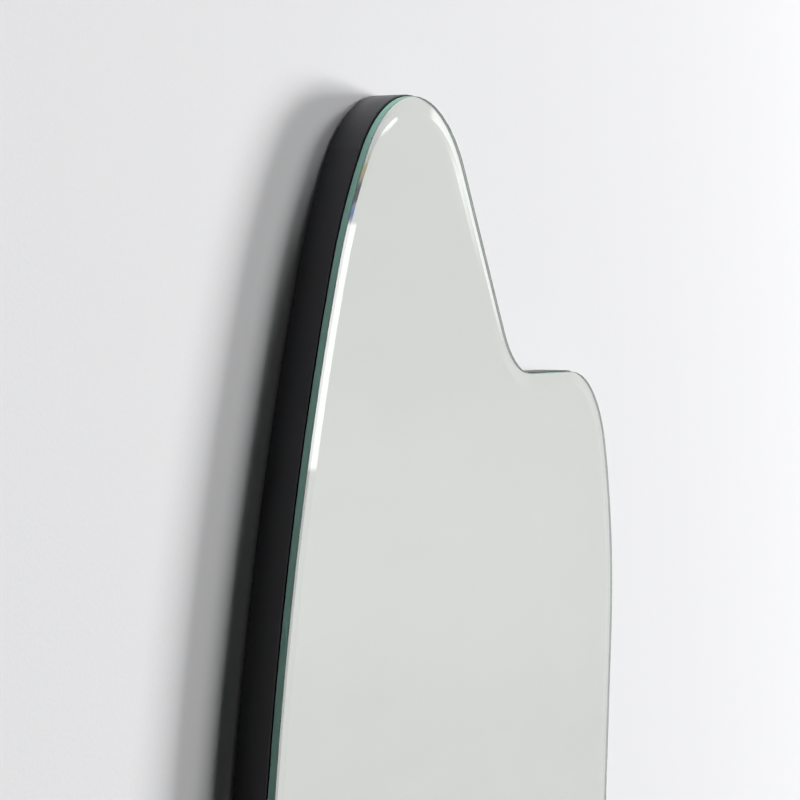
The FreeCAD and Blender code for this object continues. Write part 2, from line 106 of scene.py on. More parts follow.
@dataclass(frozen=True)
class Grain:
    """A cloudy pattern whose spots have real sizes along X, Y and Z.

    Attributes:
        size_mm: Size of a spot along each axis.
        detail: How many finer layers lie on the pattern.
        seed: Shift that keeps two patterns of one size apart.
    """

    size_mm: tuple[float, float, float]
    detail: float = 2.0
    seed: float = 0.0

    def lay(self, tree: NodeTree) -> NodeSocket:
        """Lay the pattern into a material.

        Args:
            tree: Node tree of the material.

        Returns:
            Socket that gives 0 to 1 and mostly stays near the middle.
        """
        place = add_node(tree, "ShaderNodeTexCoord")
        sized = add_node(
            tree,
            "ShaderNodeMapping",
            {
                "Vector": place.outputs["Object"],
                "Location": (self.seed, self.seed, self.seed),
                "Scale": tuple(MM_PER_M / size for size in self.size_mm),
            },
        )
        cloud = add_node(
            tree,
            "ShaderNodeTexNoise",
            {"Vector": sized.outputs["Vector"], "Scale": 1.0, "Detail": self.detail},
        )
        return cloud.outputs["Fac"]


@dataclass(frozen=True)
class Cells:
    """A pattern of packed cells with a real size, such as foam bubbles or spangle.

    Attributes:
        size_mm: Distance between neighbouring cells.
    """

    size_mm: float

    def lay(self, tree: NodeTree) -> Node:
        """Lay the pattern into a material.

        Args:
            tree: Node tree of the material.

        Returns:
            The pattern's node, with Distance and Color outputs.
        """
        place = add_node(tree, "ShaderNodeTexCoord")
        return add_node(
            tree,
            "ShaderNodeTexVoronoi",
            {"Vector": place.outputs["Object"], "Scale": MM_PER_M / self.size_mm},
        )


class Finish:
    """One real finish, made into a procedural material the first time that it is used.

    A field named rough holds the roughness at the low and the high end of the pattern that varies it,
    and one named matt an even roughness.
    """

    title: ClassVar[str]

    def material(self) -> Material:
        """Give the material of this finish, made once and then shared.

        Returns:
            The material, named for the finish.
        """
        made = bpy.data.materials.get(self.title)
        if made is None:
            made = bpy.data.materials.new(self.title)
            made.use_nodes = True
            tree = made.node_tree
            tree.nodes.clear()
            shader = add_node(tree, "ShaderNodeBsdfPrincipled")
            add_node(tree, "ShaderNodeOutputMaterial", {"Surface": shader.outputs["BSDF"]})
            self.coat(tree, shader)
        return made

    def coat(self, tree: NodeTree, shader: Node) -> None:
        """Set up the shader of this finish.

        Args:
            tree: Node tree of the material.
            shader: Its surface shader.
        """
        raise NotImplementedError

    @staticmethod
    def tint(tree: NodeTree, shader: Node, fac: NodeSocket, first: str, second: str) -> None:
        """Colour the shader between two tones.

        Args:
            tree: Node tree of the material.
            shader: Shader that takes the colour.
            fac: Pattern that goes from the first tone to the second.
            first: Hex colour at the pattern's low values.
            second: Hex colour at the pattern's high values.
        """
        inputs = {MIX_FACTOR: fac, MIX_FIRST: linear(first), MIX_SECOND: linear(second)}
        tones = add_node(tree, "ShaderNodeMix", inputs, data_type="RGBA")
        tree.links.new(tones.outputs[MIX_RESULT], shader.inputs["Base Color"])

    @staticmethod
    def dull(tree: NodeTree, shader: Node, fac: NodeSocket, low: float, high: float) -> None:
        """Let a pattern vary the shader's roughness.

        Args:
            tree: Node tree of the material.
            shader: Shader that takes the roughness.
            fac: Pattern that varies it.
            low: Roughness at the pattern's usual low end.
            high: Roughness at the pattern's usual high end.
        """
        ends = {"From Min": NOISE_LOW, "From Max": NOISE_HIGH, "To Min": low, "To Max": high}
        spread = add_node(tree, "ShaderNodeMapRange", {"Value": fac, **ends})
        tree.links.new(spread.outputs["Result"], shader.inputs["Roughness"])

    @staticmethod
    def emboss(tree: NodeTree, shader: Node, fac: NodeSocket, depth_mm: float, strength: float) -> None:
        """Let a pattern raise and lower the surface.

        Args:
            tree: Node tree of the material.
            shader: Shader that takes the relief.
            fac: Height pattern.
            depth_mm: Height between its lowest and highest points.
            strength: Share of the relief that shows.
        """
        inputs = {"Height": fac, "Distance": depth_mm / MM_PER_M, "Strength": strength}
        relief = add_node(tree, "ShaderNodeBump", inputs)
        tree.links.new(relief.outputs["Normal"], shader.inputs["Normal"])

    @staticmethod
    def resurface(tree: NodeTree, surface: NodeSocket) -> None:
        """Give the material another surface than its plain shader.

        Args:
            tree: Node tree of the material.
            surface: Output of the other shader.
        """
        output = next(node for node in tree.nodes if node.type == "OUTPUT_MATERIAL")
        tree.links.new(surface, output.inputs["Surface"])


@dataclass(frozen=True)
class PolishedFloatGlass(Finish):
    """Fire-polished float glass with a felt-polished bevel: clear, hardly green, mirror smooth."""

    title: ClassVar[str] = "polished_float_glass"
    clean: str = "#F8FBFA"
    wiped: str = "#F3F7F5"
    rough: tuple[float, float] = (0.0, 0.006)

    def coat(self, tree: NodeTree, shader: Node) -> None:
        """Clear glass with faint wiping marks, long across the plate.

        Args:
            tree: Node tree of the material.
            shader: Its surface shader.
        """
        wiping = Grain(size_mm=(140.0, 20.0, 35.0), detail=3.0).lay(tree)
        self.tint(tree, shader, wiping, self.clean, self.wiped)
        self.dull(tree, shader, wiping, *self.rough)
        shader.inputs["IOR"].default_value = GLASS_IOR
        shader.inputs["Transmission Weight"].default_value = 1.0


@dataclass(frozen=True)
class ChemicalSilver(Finish):
    """Silver deposited on the glass: nearly white, with the slightest cloud where the bath was uneven."""

    title: ClassVar[str] = "chemical_silver"
    bright: str = "#F4F4F2"
    cloudy: str = "#F0F1EF"
    rough: tuple[float, float] = (0.0, 0.008)

    def coat(self, tree: NodeTree, shader: Node) -> None:
        """Bare metal with hardly any blur of its own.

        Args:
            tree: Node tree of the material.
            shader: Its surface shader.
        """
        bath = Grain(size_mm=(90.0, 90.0, 120.0), seed=4.0).lay(tree)
        self.tint(tree, shader, bath, self.bright, self.cloudy)
        self.dull(tree, shader, bath, *self.rough)
        shader.inputs["Metallic"].default_value = 1.0


@dataclass(frozen=True)
class GroundGlassEdge(Finish):
    """Edge ground with a fine diamond wheel: frosted, faintly lined, teal from the glass behind it.

    Attributes:
        deep: Hex colour of the lines' hollows.
        pale: Hex colour of the lines' ridges.
        painted_inside_light: Pale hex colour seen from inside the glass. It is painted light, standing in
            for the room's light that the frosting hands on.
        clear: Share of the light that the frosting hands on, from outside and from inside.
        rough: Roughness at the low and the high end of the lines.
    """

    title: ClassVar[str] = "fine_ground_glass_edge"
    deep: str = "#78B0A1"
    pale: str = "#99C4B7"
    painted_inside_light: str = "#F2F8F6"
    clear: tuple[float, float] = (0.1, 1.0)
    rough: tuple[float, float] = (0.6, 0.8)

    def coat(self, tree: NodeTree, shader: Node) -> None:
        """Frosted glass with the wheel's lines along the edge, and painted light in its colour where it
        is seen from inside.

        Args:
            tree: Node tree of the material.
            shader: Its surface shader.
        """
        # The wheel leaves lines 0.05 mm apart; 0.4 mm is as fine as the picture can show
        lines = Grain(size_mm=(30.0, 0.4, 30.0), detail=1.0).lay(tree)
        self.tint(tree, shader, lines, self.deep, self.pale)
        outside = shader.inputs["Base Color"].links[0].from_socket
        # Seen from inside the glass, the teal gives way to a near-white colour. That colour is painted
        # light, standing in for the room's light that the frosting passes on.
        within = add_node(tree, "ShaderNodeNewGeometry").outputs["Backfacing"]
        inputs = {MIX_FACTOR: within, MIX_FIRST: outside, MIX_SECOND: linear(self.painted_inside_light)}
        sides = add_node(tree, "ShaderNodeMix", inputs, data_type="RGBA")
        tree.links.new(sides.outputs[MIX_RESULT], shader.inputs["Base Color"])
        self.dull(tree, shader, lines, *self.rough)
        self.emboss(tree, shader, lines, depth_mm=0.02, strength=0.4)
        shader.inputs["IOR"].default_value = GLASS_IOR
        ends = {"Value": within, "To Min": self.clear[0], "To Max": self.clear[1]}
        share = add_node(tree, "ShaderNodeMapRange", ends)
        tree.links.new(share.outputs["Result"], shader.inputs["Transmission Weight"])


@dataclass(frozen=True)
class SeamedGlassArris(Finish):
    """Sharp corner of the glass taken off with a fine belt: a thin, paler and glossier line."""

    title: ClassVar[str] = "belt_seamed_glass_arris"
    deep: str = "#A9CFC4"
    pale: str = "#D2E6DF"
    rough: tuple[float, float] = (0.25, 0.45)
    clear: float = 0.7

    def coat(self, tree: NodeTree, shader: Node) -> None:
        """Half polished glass with small chips of the belt along it.

        Args:
            tree: Node tree of the material.
            shader: Its surface shader.
        """
        # The belt's chips are 0.1 mm; drawn at 1.5 mm so that they show
        chips = Grain(size_mm=(1.5, 1.5, 1.5), detail=3.0, seed=2.0).lay(tree)
        self.tint(tree, shader, chips, self.deep, self.pale)
        self.dull(tree, shader, chips, *self.rough)
        shader.inputs["IOR"].default_value = GLASS_IOR
        shader.inputs["Transmission Weight"].default_value = self.clear


@dataclass(frozen=True)
class MirrorBackingPaint(Finish):
    """Grey protective paint, curtain coated over the silver: even and nearly matt."""

    title: ClassVar[str] = "curtain_coated_backing_paint"
    body: str = "#747C79"
    thin: str = "#838A87"
    rough: tuple[float, float] = (0.5, 0.65)

    def coat(self, tree: NodeTree, shader: Node) -> None:
        """Grey paint with the long ripples of the curtain.

        Args:
            tree: Node tree of the material.
            shader: Its surface shader.
        """
        ripples = Grain(size_mm=(4.0, 4.0, 80.0), seed=1.0).lay(tree)
        self.tint(tree, shader, ripples, self.body, self.thin)
        self.dull(tree, shader, ripples, *self.rough)
        self.emboss(tree, shader, ripples, depth_mm=0.03, strength=0.5)


@dataclass(frozen=True)
class SatinBlackLacquer(Finish):
    """Two-pack lacquer sprayed on sealed fibreboard: deep black, satin, with a soft orange peel."""

    title: ClassVar[str] = "sprayed_satin_black_lacquer"
    deep: str = "#151519"
    worn: str = "#1B1B1F"
    rough: tuple[float, float] = (0.38, 0.46)

    def coat(self, tree: NodeTree, shader: Node) -> None:
        """Black satin with the peel of the spray and slight handling marks.

        Args:
            tree: Node tree of the material.
            shader: Its surface shader.
        """
        peel = Grain(size_mm=(2.2, 2.2, 2.2), detail=1.0, seed=3.0).lay(tree)
        handling = Grain(size_mm=(35.0, 12.0, 60.0), detail=4.0, seed=6.0).lay(tree)
        self.tint(tree, shader, handling, self.deep, self.worn)
        self.dull(tree, shader, handling, *self.rough)
        self.emboss(tree, shader, peel, depth_mm=0.02, strength=0.25)
        shader.inputs["IOR"].default_value = LACQUER_IOR


@dataclass(frozen=True)
class RubbedLacquerArris(Finish):
    """Eased corner of the lacquered board: a thin film, rubbed a little paler and smoother."""

    title: ClassVar[str] = "rubbed_black_lacquer_arris"
    sound: str = "#101013"
    rubbed: str = "#2A2827"
    rubbed_range: tuple[float, float] = (0.52, 0.75)
    rough: tuple[float, float] = (0.36, 0.26)

    def coat(self, tree: NodeTree, shader: Node) -> None:
        """Black lacquer with short rubbed stretches.

        Args:
            tree: Node tree of the material.
            shader: Its surface shader.
        """
        rubbing = Grain(size_mm=(9.0, 3.0, 14.0), detail=4.0, seed=8.0).lay(tree)
        low, high = self.rubbed_range
        inputs = {"Value": rubbing, "From Min": low, "From Max": high}
        worn = add_node(tree, "ShaderNodeMapRange", inputs)
        self.tint(tree, shader, worn.outputs["Result"], self.sound, self.rubbed)
        self.dull(tree, shader, rubbing, *self.rough)
        shader.inputs["IOR"].default_value = LACQUER_IOR


@dataclass(frozen=True)
class RoutedFibreboard(Finish):
    """Bare fibreboard in the routed recesses: brown, matt and woolly, darker where it is scorched."""

    title: ClassVar[str] = "routed_bare_fibreboard"
    scorched: str = "#5B4330"
    fibre: str = "#A58563"
    rough: tuple[float, float] = (0.85, 0.95)

    def coat(self, tree: NodeTree, shader: Node) -> None:
        """Woolly fibre speckle between scorched and fresh brown.

        Args:
            tree: Node tree of the material.
            shader: Its surface shader.
        """
        # Fibres are 0.05 mm thick; drawn at 0.6 mm so that they show
        fibres = Grain(size_mm=(0.6, 0.6, 0.6), detail=4.0).lay(tree)
        self.tint(tree, shader, fibres, self.scorched, self.fibre)
        self.dull(tree, shader, fibres, *self.rough)
        self.emboss(tree, shader, fibres, depth_mm=0.15, strength=0.7)


@dataclass(frozen=True)
class BrightZincPlate(Finish):
    """Stamped sheet steel, barrel plated with bright zinc: cool silver with soft tumbling marks."""

    title: ClassVar[str] = "bright_zinc_plated_sheet_steel"
    cool: str = "#C3C8CE"
    warm: str = "#D3D2CC"
    rough: tuple[float, float] = (0.24, 0.4)

    def coat(self, tree: NodeTree, shader: Node) -> None:
        """Plated metal, drawn along its length and tumbled.

        Args:
            tree: Node tree of the material.
            shader: Its surface shader.
        """
        drawn = Grain(size_mm=(0.4, 6.0, 14.0), detail=2.0).lay(tree)
        tumbled = Grain(size_mm=(5.0, 5.0, 5.0), detail=4.0, seed=5.0).lay(tree)
        self.tint(tree, shader, tumbled, self.cool, self.warm)
        self.dull(tree, shader, drawn, *self.rough)
        self.emboss(tree, shader, drawn, depth_mm=0.01, strength=0.3)
        shader.inputs["Metallic"].default_value = 1.0


@dataclass(frozen=True)
class PassivatedScrewZinc(Finish):
    """Cold headed screw, zinc plated and passivated: silver with a pale straw cast."""

    title: ClassVar[str] = "passivated_zinc_screw_steel"
    silver: str = "#CFCBBF"
    straw: str = "#C9B98F"
    rough: tuple[float, float] = (0.22, 0.38)

    def coat(self, tree: NodeTree, shader: Node) -> None:
        """Plated metal whose cast changes over a few millimetres.

        Args:
            tree: Node tree of the material.
            shader: Its surface shader.
        """
        cast = Grain(size_mm=(2.5, 2.5, 2.5), detail=3.0, seed=7.0).lay(tree)
        self.tint(tree, shader, cast, self.silver, self.straw)
        self.dull(tree, shader, cast, *self.rough)
        shader.inputs["Metallic"].default_value = 1.0


@dataclass(frozen=True)
class MouldedRubber(Finish):
    """Moulded black rubber bumper: matt, with the fine grain of its mould and a little dust."""

    title: ClassVar[str] = "moulded_matt_black_rubber"
    black: str = "#161616"
    dusty: str = "#2A2928"
    rough: tuple[float, float] = (0.7, 0.85)

    def coat(self, tree: NodeTree, shader: Node) -> None:
        """Matt black with mould grain.

        Args:
            tree: Node tree of the material.
            shader: Its surface shader.
        """
        mould = Grain(size_mm=(0.5, 0.5, 0.5), detail=2.0, seed=9.0).lay(tree)
        dust = Grain(size_mm=(5.0, 5.0, 5.0), detail=5.0, seed=2.5).lay(tree)
        self.tint(tree, shader, dust, self.black, self.dusty)
        self.dull(tree, shader, mould, *self.rough)
        self.emboss(tree, shader, mould, depth_mm=0.05, strength=0.5)


@dataclass(frozen=True)
class ClosedCellFoam(Finish):
    """Closed-cell foam of the mirror tape: off-white, matt and full of small bubbles."""

    title: ClassVar[str] = "closed_cell_foam_tape"
    wall: str = "#E6E4DD"
    shaded_hollow: str = "#BDBAB0"
    matt: float = 0.9

    def coat(self, tree: NodeTree, shader: Node) -> None:
        """Foam bubbles, cut open at the tape's sides, with painted shade in their hollows.

        Args:
            tree: Node tree of the material.
            shader: Its surface shader.
        """
        bubbles = Cells(size_mm=0.5).lay(tree)
        # The darker tone at each bubble's middle is painted shade in the cut-open hollows.
        self.tint(tree, shader, bubbles.outputs["Distance"], self.shaded_hollow, self.wall)
        self.emboss(tree, shader, bubbles.outputs["Distance"], depth_mm=0.2, strength=0.6)
        shader.inputs["Roughness"].default_value = self.matt


@dataclass(frozen=True)
class CuredMirrorAdhesive(Finish):
    """Neutral curing sealant pressed flat: putty coloured, softly glossy, smeared."""

    title: ClassVar[str] = "cured_neutral_sealant"
    putty: str = "#C9C4B4"
    thick: str = "#B3AD9B"
    ior: float = 1.43
    rough: tuple[float, float] = (0.35, 0.55)

    def coat(self, tree: NodeTree, shader: Node) -> None:
        """Sealant with the smears of its pressing.

        Args:
            tree: Node tree of the material.
            shader: Its surface shader.
        """
        smears = Grain(size_mm=(6.0, 6.0, 18.0), detail=2.0, seed=1.5).lay(tree)
        self.tint(tree, shader, smears, self.putty, self.thick)
        self.dull(tree, shader, smears, *self.rough)
        self.emboss(tree, shader, smears, depth_mm=0.2, strength=0.5)
        shader.inputs["IOR"].default_value = self.ior


@dataclass(frozen=True)
class MattWallEmulsion(Finish):
    """Matt white emulsion rolled on plaster: the stage behind the mirror, see-through from behind."""

    title: ClassVar[str] = "matt_wall_emulsion"
    white: str = "#F0F0F1"
    shade: str = "#ECECEE"
    matt: float = 0.9
    gloss: float = 0.2

    def coat(self, tree: NodeTree, shader: Node) -> None:
        """White paint with roller stipple, clear for a camera that stands behind the wall.

        Args:
            tree: Node tree of the material.
            shader: Its surface shader.
        """
        stipple = Grain(size_mm=(1.6, 1.6, 1.6), detail=3.0, seed=3.5).lay(tree)
        self.tint(tree, shader, stipple, self.white, self.shade)
        self.emboss(tree, shader, stipple, depth_mm=0.12, strength=0.35)
        shader.inputs["Roughness"].default_value = self.matt
        shader.inputs["Specular IOR Level"].default_value = self.gloss
        side = add_node(tree, "ShaderNodeNewGeometry")
        path = add_node(tree, "ShaderNodeLightPath")
        seen = add_node(
            tree,
            "ShaderNodeMath",
            {0: side.outputs["Backfacing"], 1: path.outputs["Is Camera Ray"]},
            operation="MULTIPLY",
        )
        clear = add_node(tree, "ShaderNodeBsdfTransparent")
        both = add_node(
            tree,
            "ShaderNodeMixShader",
            {0: seen.outputs["Value"], 1: shader.outputs["BSDF"], 2: clear.outputs["BSDF"]},
        )
        self.resurface(tree, both.outputs["Shader"])


@dataclass(frozen=True)
class PaleFloorPaint(Finish):
    """Pale floor paint: the plain ground of the studio."""

    title: ClassVar[str] = "pale_floor_paint"
    pale: str = "#B4B4B3"
    trodden: str = "#AEAEAC"
    bounce: str = "#181818"
    matt: float = 0.8

    def coat(self, tree: NodeTree, shader: Node) -> None:
        """Pale matt paint with broad, faint clouds, which throws little light back up.

        Args:
            tree: Node tree of the material.
            shader: Its surface shader.
        """
        clouds = Grain(size_mm=(400.0, 400.0, 400.0), detail=3.0).lay(tree)
        self.tint(tree, shader, clouds, self.pale, self.trodden)
        shader.inputs["Roughness"].default_value = self.matt
        bounce = add_node(tree, "ShaderNodeBsdfDiffuse", {"Color": linear(self.bounce)})
        mixed = add_node(
            tree,
            "ShaderNodeMixShader",
            {0: seen_rays(tree), 1: bounce.outputs["BSDF"], 2: shader.outputs["BSDF"]},
        )
        self.resurface(tree, mixed.outputs["Shader"])


def dress(
    node: str, finishes: Sequence[Finish], pick: Callable[[MeshPolygon], int] | None = None
) -> Object:
    """Give a CAD node its finishes.

    Args:
        node: Name of the node.
        finishes: Finishes in the order that pick numbers them.
        pick: Number of the finish for one polygon; without it the first finish covers the node.

    Returns:
        The node's object.
    """
    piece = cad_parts[node]
    piece.data.materials.clear()
    for finish in finishes:
        piece.data.materials.append(finish.material())
    for polygon in piece.data.polygons:
        polygon.material_index = pick(polygon) if pick else 0
    LOG.info("%s: %s", node, ", ".join(finish.title for finish in finishes))
    return piece


def turn_from_front(polygon: MeshPolygon) -> float:
    """Give the angle in degrees between a polygon's normal and the mirror's front direction."""
    return math.degrees(polygon.normal.angle(FRONT))


class GlassZone(Enum):
    """Zone of the glass plate, numbered as its finishes are."""

    FACE = 0
    ARRIS = 1
    EDGE = 2
    BACK = 3


class CoatZone(Enum):
    """Zone of the coat, numbered as its finishes are."""

    SILVER = 0
    PAINT = 1


@dataclass
class MirrorPlate:
    """The bevelled glass plate with the silver and paint on its back.

    Attributes:
        glass: Node of the glass.
        coat: Node of the silver and its paint.
        bevel_limit: Largest turn from the front of the face and its bevel, in degrees.
        arris_limit: Largest turn of the front arris, in degrees.
        edge_limit: Largest turn of the ground edge, in degrees.
        back_limit: Largest turn of the back arris, in degrees.
        film_clearance: How far the coat draws in, in metres, so that it never lies in the glass's plane.
    """

    glass: str = "mirror_glass"
    coat: str = "silver_coat"
    bevel_limit: float = 25.0
    arris_limit: float = 70.0
    edge_limit: float = 110.0
    back_limit: float = 160.0
    film_clearance: float = 0.00002

    def glass_zone(self, polygon: MeshPolygon) -> int:
        """Tell the zone of a glass polygon.

        Args:
            polygon: Polygon of the glass.

        Returns:
            Number of the zone.
        """
        turn = turn_from_front(polygon)
        if turn < self.bevel_limit:
            return GlassZone.FACE.value
        if turn < self.arris_limit:
            return GlassZone.ARRIS.value
        if turn < self.edge_limit:
            return GlassZone.EDGE.value
        if turn < self.back_limit:
            return GlassZone.ARRIS.value
        return GlassZone.BACK.value

    def coat_zone(self, polygon: MeshPolygon) -> int:
        """Tell the zone of a coat polygon.

        Args:
            polygon: Polygon of the coat.

        Returns:
            Number of the zone.
        """
        if turn_from_front(polygon) < self.bevel_limit:
            return CoatZone.SILVER.value
        return CoatZone.PAINT.value

    def build(self) -> None:
        """Dress the glass zone by zone, and the coat as silver in front and paint behind."""
        silver = ChemicalSilver()
        glass_finishes = [PolishedFloatGlass(), SeamedGlassArris(), GroundGlassEdge(), silver]
        dress(self.glass, glass_finishes, self.glass_zone)
        film = dress(self.coat, [silver, MirrorBackingPaint()], self.coat_zone)
        draw_in = film.modifiers.new("film_clearance", "DISPLACE")
        draw_in.mid_level = 0.0
        draw_in.strength = -self.film_clearance


class BoardZone(Enum):
    """Zone of the backing board, numbered as its finishes are."""

    LACQUER = 0
    ARRIS = 1
    ROUTED = 2


@dataclass
class BackingPanel:
    """The lacquered board with a routed recess for each hanger.

    Attributes:
        board: Node of the board.
        hanger_x: Distance of each hanger from the middle, in metres.
        routed_reach: Half width of the routed area round a hanger, in metres.
        routed_top: Top of the routed area, in metres.
        routed_bottom: Bottom of the routed area, in metres.
        routed_floor: Depth that no recess reaches, in metres.
        skin: Depth below the back from which a polygon counts as routed, in metres.
        arrises: Least and largest turn from the front of each arris, in degrees.
    """

    board: str = "backing_board"
    hanger_x: float = 0.130
    routed_reach: float = 0.0125
    routed_top: float = 0.036
    routed_bottom: float = -0.030
    routed_floor: float = -0.016
    skin: float = 1e-5
    arrises: tuple[tuple[float, float], ...] = ((20.0, 70.0), (110.0, 160.0))

    def zone(self, polygon: MeshPolygon) -> int:
        """Tell the zone of a board polygon.

        Args:
            polygon: Polygon of the board.

        Returns:
            Number of the zone.
        """
        across, depth, height = polygon.center
        turn = turn_from_front(polygon)
        beside = abs(abs(across) - self.hanger_x) < self.routed_reach
        level = self.routed_bottom < height < self.routed_top
        sunk = self.routed_floor < depth < -self.skin
        if beside and level and sunk:
            return BoardZone.ROUTED.value
        if any(least < turn < largest for least, largest in self.arrises):
            return BoardZone.ARRIS.value
        return BoardZone.LACQUER.value

    def build(self) -> None:
        """Dress the board in lacquer, with rubbed arrises and bare routed recesses."""
        dress(self.board, [SatinBlackLacquer(), RubbedLacquerArris(), RoutedFibreboard()], self.zone)


@dataclass
class BondLayer:
    """The tapes and adhesive beads that hold the mirror on its board.

    Attributes:
        tapes: Number of upright tapes.
        beads: Number of adhesive beads between them.
    """

    tapes: int = 5
    beads: int = 4

    def build(self) -> None:
        """Dress each tape as foam and each bead as sealant."""
        for number in range(1, self.tapes + 1):
            dress(f"mirror_tape_{number}", [ClosedCellFoam()])
        for number in range(1, self.beads + 1):
            dress(f"adhesive_bead_{number}", [CuredMirrorAdhesive()])


@dataclass
class Hangers:
    """The keyhole plates and their screws.

    Attributes:
        sides: Names of the two sides.
    """

    sides: tuple[str, str] = ("left", "right")

    def build(self) -> None:
        """Dress the plates and screws of both sides."""
        for side in self.sides:
            dress(f"keyhole_plate_{side}", [BrightZincPlate()])
            dress(f"hanger_screws_{side}", [PassivatedScrewZinc()])


@dataclass
class WallBumpers:
    """The rubber bumpers on the board's back.

    Attributes:
        places: Names of the lobes that carry one.
    """

    places: tuple[str, ...] = ("top", "shoulder", "hip", "foot")

    def build(self) -> None:
        """Dress every bumper as moulded rubber."""
        for place in self.places:
            dress(f"wall_bumper_{place}", [MouldedRubber()])


@dataclass(frozen=True)
class Lamp:
    """A soft lamp, placed by its direction from the mirror, which gives light but is never seen.

    Attributes:
        name: Name of the lamp.
        turn: Angle from straight in front towards the right, in degrees.
        rise: Angle above level, in degrees.
        distance: Distance from the mirror, in metres.
        size: Width and height, in metres.
        power: Power in watts.
    """

    name: str
    turn: float
    rise: float
    distance: float
    size: tuple[float, float]
    power: float

    def build(self, target: Vector) -> Object:
        """Hang the lamp and aim it.

        Args:
            target: Point that the lamp faces.

        Returns:
            The lamp.
        """
        light = bpy.data.lights.new(self.name, "AREA")
        light.shape = "RECTANGLE"
        light.size, light.size_y = self.size
        light.energy = self.power
        lamp = bpy.data.objects.new(self.name, light)
        turn, rise = math.radians(self.turn), math.radians(self.rise)
        level = math.cos(rise)
        way = Vector((math.sin(turn) * level, -math.cos(turn) * level, math.sin(rise)))
        lamp.location = target + way * self.distance
        lamp.rotation_euler = (-way).to_track_quat("-Z", "Y").to_euler()
        lamp.visible_camera = False
        lamp.visible_glossy = False
        lamp.visible_transmission = False
        bpy.context.scene.collection.objects.link(lamp)
        LOG.info("lamp %s", self.name)
        return lamp


class SeenIn(Enum):
    """Which rays show a patch of the room: those off a gloss, or those that come out of the glass."""

    GLOSS = auto()
    GLASS = auto()


@dataclass(frozen=True)
class RoomPatch:
    """A lighter or darker patch of the room, which the mirror shows in its bevel or its face.

    Attributes:
        seen_in: Rays that show it.
        turn: Its left and right sides, from straight in front towards the right, in degrees.
        rise: Its lower and upper sides above level, in degrees.
        soft: Width of its blurred border, in degrees.
        colour: Hex colour.
        strength: Brightness, where 1 is white for a white colour.
    """

    seen_in: SeenIn
    turn: tuple[float, float]
    rise: tuple[float, float]
    soft: float
    colour: str = "#FFFFFF"
    strength: float = 1.0

    def showing_rays(self, tree: NodeTree) -> NodeSocket:
        """Tell the rays that show the patch.

        Args:
            tree: Node tree of the world.

        Returns:
            Socket that is 1 for such a ray.
        """
        path = add_node(tree, "ShaderNodeLightPath")
        through = path.outputs["Is Transmission Ray"]
        if self.seen_in is SeenIn.GLASS:
            return through
        # A ray that comes out of clear glass counts as glossy too
        rays = {0: path.outputs["Is Glossy Ray"], 1: through}
        gloss = add_node(tree, "ShaderNodeMath", rays, operation="SUBTRACT", use_clamp=True)
        return gloss.outputs["Value"]

    def lay(self, tree: NodeTree, turn: NodeSocket, rise: NodeSocket, under: NodeSocket) -> NodeSocket:
        """Lay the patch over the room.

        Args:
            tree: Node tree of the world.
            turn: Turn of the ray to the right, in degrees.
            rise: Rise of the ray, in degrees.
            under: Colour of the room so far.

        Returns:
            Colour of the room with the patch.
        """
        cover = self.showing_rays(tree)
        for angle, (low, high) in ((turn, self.turn), (rise, self.rise)):
            middle, half = (low + high) / 2, (high - low) / 2
            off = add_node(tree, "ShaderNodeMath", {0: angle, 1: middle}, operation="SUBTRACT")
            away = add_node(tree, "ShaderNodeMath", {0: off.outputs["Value"]}, operation="ABSOLUTE")
            border = {"From Min": half + self.soft / 2, "From Max": half - self.soft / 2}
            share = add_node(
                tree,
                "ShaderNodeMapRange",
                {"Value": away.outputs["Value"], **border},
                interpolation_type="SMOOTHSTEP",
            )
            both = {0: cover, 1: share.outputs["Result"]}
            cover = add_node(tree, "ShaderNodeMath", both, operation="MULTIPLY").outputs["Value"]
        red, green, blue, _ = linear(self.colour)
        bright = (red * self.strength, green * self.strength, blue * self.strength, 1.0)
        laid = add_node(
            tree,
            "ShaderNodeMix",
            {MIX_FACTOR: cover, MIX_FIRST: under, MIX_SECOND: bright},
            data_type="RGBA",
        )
        return laid.outputs[MIX_RESULT]


